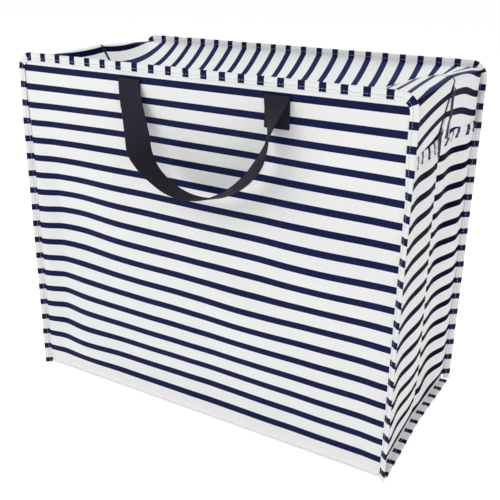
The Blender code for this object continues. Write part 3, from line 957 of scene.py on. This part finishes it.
def coil_piece(name, line, side, stagger):
    """Half of a nylon coil: one rounded turn after another, bound to the tape's edge."""
    total = lengths(line)
    count = len(COIL_SECTION)
    points = []
    faces = []
    for k in range(int(total[-1] / COIL_PITCH)):
        centre, run, _, _ = at_length(line, total, (k + 0.5 + stagger * 0.5) * COIL_PITCH)
        across = Vector((0.0, side, 0.0))
        up = across.cross(run).normalized()
        if up.z < -0.2 or (abs(up.z) <= 0.2 and up.x * centre.x < 0):
            up = -up
        start = len(points)
        for along, swell in COIL_TURN:
            for y, z in COIL_SECTION:
                points.append(centre + run * along * COIL_PITCH + (across * y + up * z) * swell)
        for p in range(3):
            for j in range(count):
                a = start + p * count + j
                b = start + p * count + (j + 1) % count
                faces.append((a, b, b + count, a + count))
        faces.append(tuple(start + j for j in reversed(range(count))))
        faces.append(tuple(start + 3 * count + j for j in range(count)))
    return finish_mesh(name, points, faces, None, COIL_MAT, 60.0)


def make_tabs():
    for end_name, end in ENDS:
        low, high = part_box(f"{end_name}_zip_tab")
        ys = spread(low[1], high[1], 14)
        grid = []
        uvs = []
        for z in spread(high[2], low[2] - 0.004, 24):
            row = []
            for y in ys:
                edge = min(y - low[1], high[1] - y, high[2] - z)
                stand = 0.0008 + 0.0007 * ease(edge / 0.002)
                point = Vector((end * (end_x(y, z, end) + stand), y, z))
                row.append((point, (z, y - high[1] + 0.0085)))
            add_row(grid, uvs, row)
        # The tab uses the lid's copy of the cloth, with painted light in its navy.
        piece = cloth_piece(f"{end_name}_tab_cloth", grid, uvs, LID_PAINTED_LIGHT_MAT, 0.0007, outward=(end, 0, 0))
        settle(piece, "bag", "striped_cloth", f"{end_name}_zip_tab")
        rows = []
        zs = spread(high[2] - 0.002, low[2], 12)
        for y in (low[1] + 0.0022, high[1] - 0.0022):
            points = [Vector((end * (end_x(y, z, end) + 0.0015), y, z)) for z in zs]
            rows.append((points, [Vector((end, 0, 0))] * len(points)))
        settle(stitch_rows(f"{end_name}_tab_stitches", rows), "bag", "striped_cloth")


DROP_LEAN = math.atan2(RIDGE_X - CREASE_X, RIDGE_Z - RIDGE_R - DROP_Z)
DOWN_DROP = Vector((-math.sin(DROP_LEAN), 0.0, -math.cos(DROP_LEAN)))
OFF_DROP = Vector((math.cos(DROP_LEAN), 0.0, -math.sin(DROP_LEAN)))

PLATE_HALF_LONG = 0.0058
PLATE_HALF_WIDE = 0.0043
PLATE_TAPER = 0.72  # width of a plate's upper end, as a share of its lower end's

# The post that joins a slider's plates as (down, across), and its bridge as (down, across, off the drop)
POST = [(0.0011 * math.cos(math.pi * i / 6), 0.0009 * math.sin(math.pi * i / 6)) for i in range(12)]
BRIDGE = [(-0.0041, 0.0, 0.0008), (-0.0038, 0.0, 0.0024), (-0.0024, 0.0, 0.0036), (0.0, 0.0, 0.0039)]
BRIDGE += [(-a, b, c) for a, b, c in reversed(BRIDGE[:-1])]
PULL_BEND = 0.0028  # radius at both ends of the pull's wire loop
PULL_CENTRES = (-0.0022, -0.0288)  # their centres' heights from the pivot
STOP_HALF = 0.0036
WIRE_SIDES = 10


def on_drop(origin, down, across, off):
    """A point on the right drop, by its distances from origin."""
    return origin + DOWN_DROP * down + Vector((0, across, 0)) + OFF_DROP * off


def slider_plate(low, high, origin):
    """A rounded shield-shaped plate, wider at its lower end, as sections stacked from low to high."""
    sections = []
    for height, shrink in ((0.0, 0.86), (0.22, 1.0), (0.78, 1.0), (1.0, 0.84)):
        level = mix(low, high, height)
        loop = []
        for i in range(24):
            turn = 2 * math.pi * i / 24
            c, d = math.cos(turn), math.sin(turn)
            narrowing = mix(1.0, PLATE_TAPER, 0.5 - 0.5 * c)
            along = math.copysign(abs(c) ** 0.7, c) * PLATE_HALF_LONG * shrink
            across = math.copysign(abs(d) ** 0.7, d) * PLATE_HALF_WIDE * shrink * narrowing
            loop.append(on_drop(origin, along, across, level))
        sections.append(loop)
    return sections


def make_sliders():
    """Zip sliders with side flanges and a bridge, each carrying a long narrow wire loop."""
    for place in ("upper", "lower"):
        z = JOINTS[f"{place}_pull_swing"]["pos_m"][2]
        mouth = 1 if place == "upper" else -1
        origin = Vector((crease_x(z), 0.0, z)) + OFF_DROP * 0.0004
        top = sweep_piece(f"slider_{place}_top", slider_plate(0.0, 0.0013, origin), None, METAL_MAT)
        low = sweep_piece(f"slider_{place}_low", slider_plate(-0.0044, -0.0033, origin), None, METAL_MAT)
        post = [[on_drop(origin, a - 0.004 * mouth, b, c) for a, b in POST] for c in (-0.0036, 0.0003)]
        neck = sweep_piece(f"slider_{place}_post", post, None, METAL_MAT)
        bridge = wire_piece(f"slider_{place}_bridge", BRIDGE, 0.00062, origin)
        for piece in (top, low, neck, bridge):
            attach(piece, f"{place}_slider")
        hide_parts(f"zip_slider_{place}")
        pivot = Vector(JOINTS[f"{place}_pull_swing"]["pos_m"])
        loop = []
        for way, centre in zip((1, -1), PULL_CENTRES):
            bend = way * PULL_BEND
            for turn in spread(0.0, math.pi, 12):
                loop.append((0.0, bend * math.cos(turn), centre + bend * math.sin(turn)))
        pull = wire_piece(f"pull_{place}_loop", loop, 0.00085, pivot, closed=True)
        settle(pull, f"{place}_pull", "dark_metal", f"zip_pull_{place}")


def wire_piece(name, line, radius, origin, closed=False):
    """Round wire along a line. An open line's points are (down the drop, across, off the drop)."""
    if closed:
        path = [origin + Vector(p) for p in line]
    else:
        path = [on_drop(origin, *p) for p in line]
    count = len(path)
    sections = []
    for i, p in enumerate(path):
        ahead = path[(i + 1) % count] if closed else path[min(i + 1, count - 1)]
        behind = path[i - 1] if closed else path[max(i - 1, 0)]
        run = (ahead - behind).normalized()
        first = Vector((1, 0, 0)) if closed else Vector((0, 1, 0))
        second = run.cross(first).normalized()
        loop = []
        for j in range(WIRE_SIDES):
            turn = 2 * math.pi * j / WIRE_SIDES
            loop.append(p + (first * math.cos(turn) + second * math.sin(turn)) * radius)
        sections.append(loop)
    return sweep_piece(name, sections, None, METAL_MAT, closed_path=closed)


def make_stops():
    for end_name, end in ENDS:
        low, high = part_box(f"{end_name}_zip_stop")
        z = (low[2] + high[2]) / 2
        origin = Vector((crease_x(z), 0.0, z))
        sections = []
        for y in spread(-STOP_HALF, STOP_HALF, 9):
            p = on_drop(origin, 0.0, y, 0.0006 + 0.0006 * math.cos(y / STOP_HALF * math.pi / 2))
            loop = []
            for j in range(WIRE_SIDES):
                turn = 2 * math.pi * j / WIRE_SIDES
                q = p + DOWN_DROP * 0.0012 * math.cos(turn) + OFF_DROP * 0.0006 * math.sin(turn)
                loop.append(Vector((end * q.x, q.y, q.z)))
            sections.append(loop)
        piece = sweep_piece(f"{end_name}_stop_bar", sections, None, METAL_MAT)
        settle(piece, "bag", "dark_metal", f"{end_name}_zip_stop")


# ---------------------------------------------------------------- handles

# The front loop's middle line as (x, z below the fold, twist in degrees), from left fold to right fold
LOOP_STATIONS = (
    (-0.0890, 0.000, 0),
    (-0.0890, 0.007, 0),
    (-0.0868, 0.022, 4),
    (-0.0815, 0.044, 10),
    (-0.0740, 0.068, 26),
    (-0.0620, 0.090, 66),
    (-0.0440, 0.110, 86),
    (-0.0160, 0.126, 92),
    (0.0130, 0.131, 97),
    (0.0430, 0.126, 102),
    (0.0720, 0.110, 102),
    (0.0940, 0.088, 97),
    (0.1055, 0.067, 84),
    (0.1120, 0.046, 66),
    (0.1145, 0.020, 34),
    (0.1150, 0.007, 8),
    (0.1150, 0.000, 0),
)


def catmull(a, b, c, d, t):
    return 0.5 * (2 * b + (c - a) * t + (2 * a - 5 * b + 4 * c - d) * t**2 + (3 * b - a - 3 * c + d) * t**3)


def loop_stations(steps=8):
    """Middle, direction of run and direction of width at each station of the front loop."""
    axis_y = abs(JOINTS["front_handle_swing"]["pos_m"][1])
    rows = [LOOP_STATIONS[0], *LOOP_STATIONS, LOOP_STATIONS[-1]]
    line = []
    for i in range(len(LOOP_STATIONS) - 1):
        for k in range(steps):
            line.append([catmull(*(rows[i + j][axis] for j in range(4)), k / steps) for axis in range(3)])
    line.append(list(LOOP_STATIONS[-1]))
    stations = []
    for i, (x, below, twist) in enumerate(line):
        turn = math.radians(twist)
        ahead = line[min(i + 1, len(line) - 1)]
        behind = line[max(i - 1, 0)]
        run = Vector((ahead[0] - behind[0], 0.0, behind[1] - ahead[1])).normalized()
        inward = Vector((-run.z, 0.0, run.x))
        width = inward * math.cos(turn) + Vector((0, 1, 0)) * math.sin(turn)
        middle = Vector((x, -(axis_y + WEBBING / 2 * math.sin(turn)), SEWN_TOP - below))
        stations.append((middle, run, width))
    return stations


# A strap's section from one edge to its middle as (share of half the width, share of half the thickness)
STRAP_EDGE = ((-1.0, 0.0), (-0.985, 0.6), (-0.94, 1.0), (-0.88, 0.88), (-0.5, 0.94))
STRAP_SECTION = (*STRAP_EDGE, (0.0, 0.98), *((-w, t) for w, t in reversed(STRAP_EDGE)))


def strap_piece(name, stations, turn_round):
    section = [*STRAP_SECTION, *((w, -t) for w, t in reversed(STRAP_SECTION[1:-1]))]
    line = [middle for middle, _, _ in stations]
    total = lengths(line)
    sections = []
    uvs = []
    for (middle, run, width), s in zip(stations, total):
        thick = run.cross(width).normalized()
        loop = []
        for w, t in section:
            p = middle + width * w * WEBBING / 2 + thick * t * WEBBING_THICK / 2
            loop.append(Vector((-p.x, -p.y, p.z)) if turn_round else p)
        sections.append(loop)
        uvs.append([(w * WEBBING / 2, s) for w, t in section])
    return sweep_piece(name, sections, uvs, WEBBING_MAT, sharp=75.0)


def make_handles():
    for side_name, side in SIDES:
        loop = strap_piece(f"{side_name}_handle_strap", loop_stations(), side > 0)
        settle(loop, f"{side_name}_handle", "webbing", f"{side_name}_handle_loop")
        for end_name, _ in ENDS:
            low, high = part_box(f"{side_name}_handle_{end_name}_sewn_end")
            middle = Vector((-side * (low[0] + high[0]) / 2, -abs(low[1] + high[1]) / 2, 0.0))
            stations = []
            for z in spread(SEWN_TOP, SEWN_LOW, 14):
                stations.append((middle + Vector((0, 0, z)), Vector((0, 0, -1)), Vector((1, 0, 0))))
            patch = strap_piece(f"{side_name}_{end_name}_sewn_strap", stations, side > 0)
            settle(patch, "bag", "webbing", f"{side_name}_handle_{end_name}_sewn_end")


# ---------------------------------------------------------------- camera and light


def make_view():
    azimuth = math.radians(29.81)
    height = math.radians(20.91)
    roll = math.radians(0.82)
    target = Vector((-0.0021, 0.0, 0.2153))
    level = math.cos(height)
    back = Vector((math.sin(azimuth) * level, -math.cos(azimuth) * level, math.sin(height)))
    right = Vector((math.cos(azimuth), math.sin(azimuth), 0.0))
    up = back.cross(right)
    right, up = right * math.cos(roll) + up * math.sin(roll), up * math.cos(roll) - right * math.sin(roll)
    camera = bpy.data.cameras.new("camera")
    camera.lens = 53.71
    camera.shift_x = 0.0085
    camera.shift_y = -0.0239
    camera.sensor_width = 36.0
    camera.clip_start = 0.01
    made = place_object("camera", camera)
    place = target + back * 1.0658
    made.matrix_world = Matrix.Translation(place) @ Matrix((right, up, back)).transposed().to_4x4()
    bpy.context.scene.camera = made


def area_light(name, place, target, size, power):
    light = bpy.data.lights.new(name, "AREA")
    light.shape = "RECTANGLE"
    light.size, light.size_y = size
    light.energy = power
    made = place_object(name, light)
    made.location = place
    made.rotation_euler = (Vector(target) - Vector(place)).to_track_quat("-Z", "Y").to_euler()


def make_studio():
    floor_mesh = bpy.data.meshes.new("floor")
    reach = 40.0
    corners = [(x * reach, y * reach, -0.0004) for x, y in ((-1, -1), (1, -1), (1, 1), (-1, 1))]
    floor_mesh.from_pydata(corners, [], [(0, 1, 2, 3)])
    paper, tree, shader = new_material("paper_floor")
    where = object_coordinates(tree)
    grey = colour_mix(tree, noise_at(tree, where, 3.0), (0.86, 0.86, 0.86), (0.88, 0.88, 0.88))
    tree.links.new(grey, shader.inputs["Base Color"])
    white = (1.0, 1.0, 1.0, 1.0)
    set_inputs(shader, {"Roughness": 0.9, "Emission Color": white, "Emission Strength": 0.55})
    floor_mesh.materials.append(paper)
    floor = place_object("floor", floor_mesh)

    world = bpy.data.worlds.new("studio")
    world.use_nodes = True
    set_inputs(world.node_tree.nodes["Background"], {"Color": white, "Strength": 0.50})
    bpy.context.scene.world = world

    area_light("key", (-1.3, -2.2, 2.3), (0, 0, 0.25), (1.8, 1.8), 28)
    area_light("fill", (2.4, -1.0, 1.2), (0, 0, 0.25), (1.6, 1.6), 2)
    area_light("top", (0.2, 0.9, 2.4), (0, 0, 0.4), (1.6, 1.2), 23)
    bpy.context.scene.view_settings.view_transform = "Standard"


def main():
    make_view()
    make_studio()
    make_main_wrap()
    for end_name, end in ENDS:
        make_end_panel(end_name, end)
    make_lid()
    make_bindings()
    make_drop_seams()
    make_zip_tapes()
    make_tabs()
    make_handles()
    make_sliders()
    make_stops()


main()
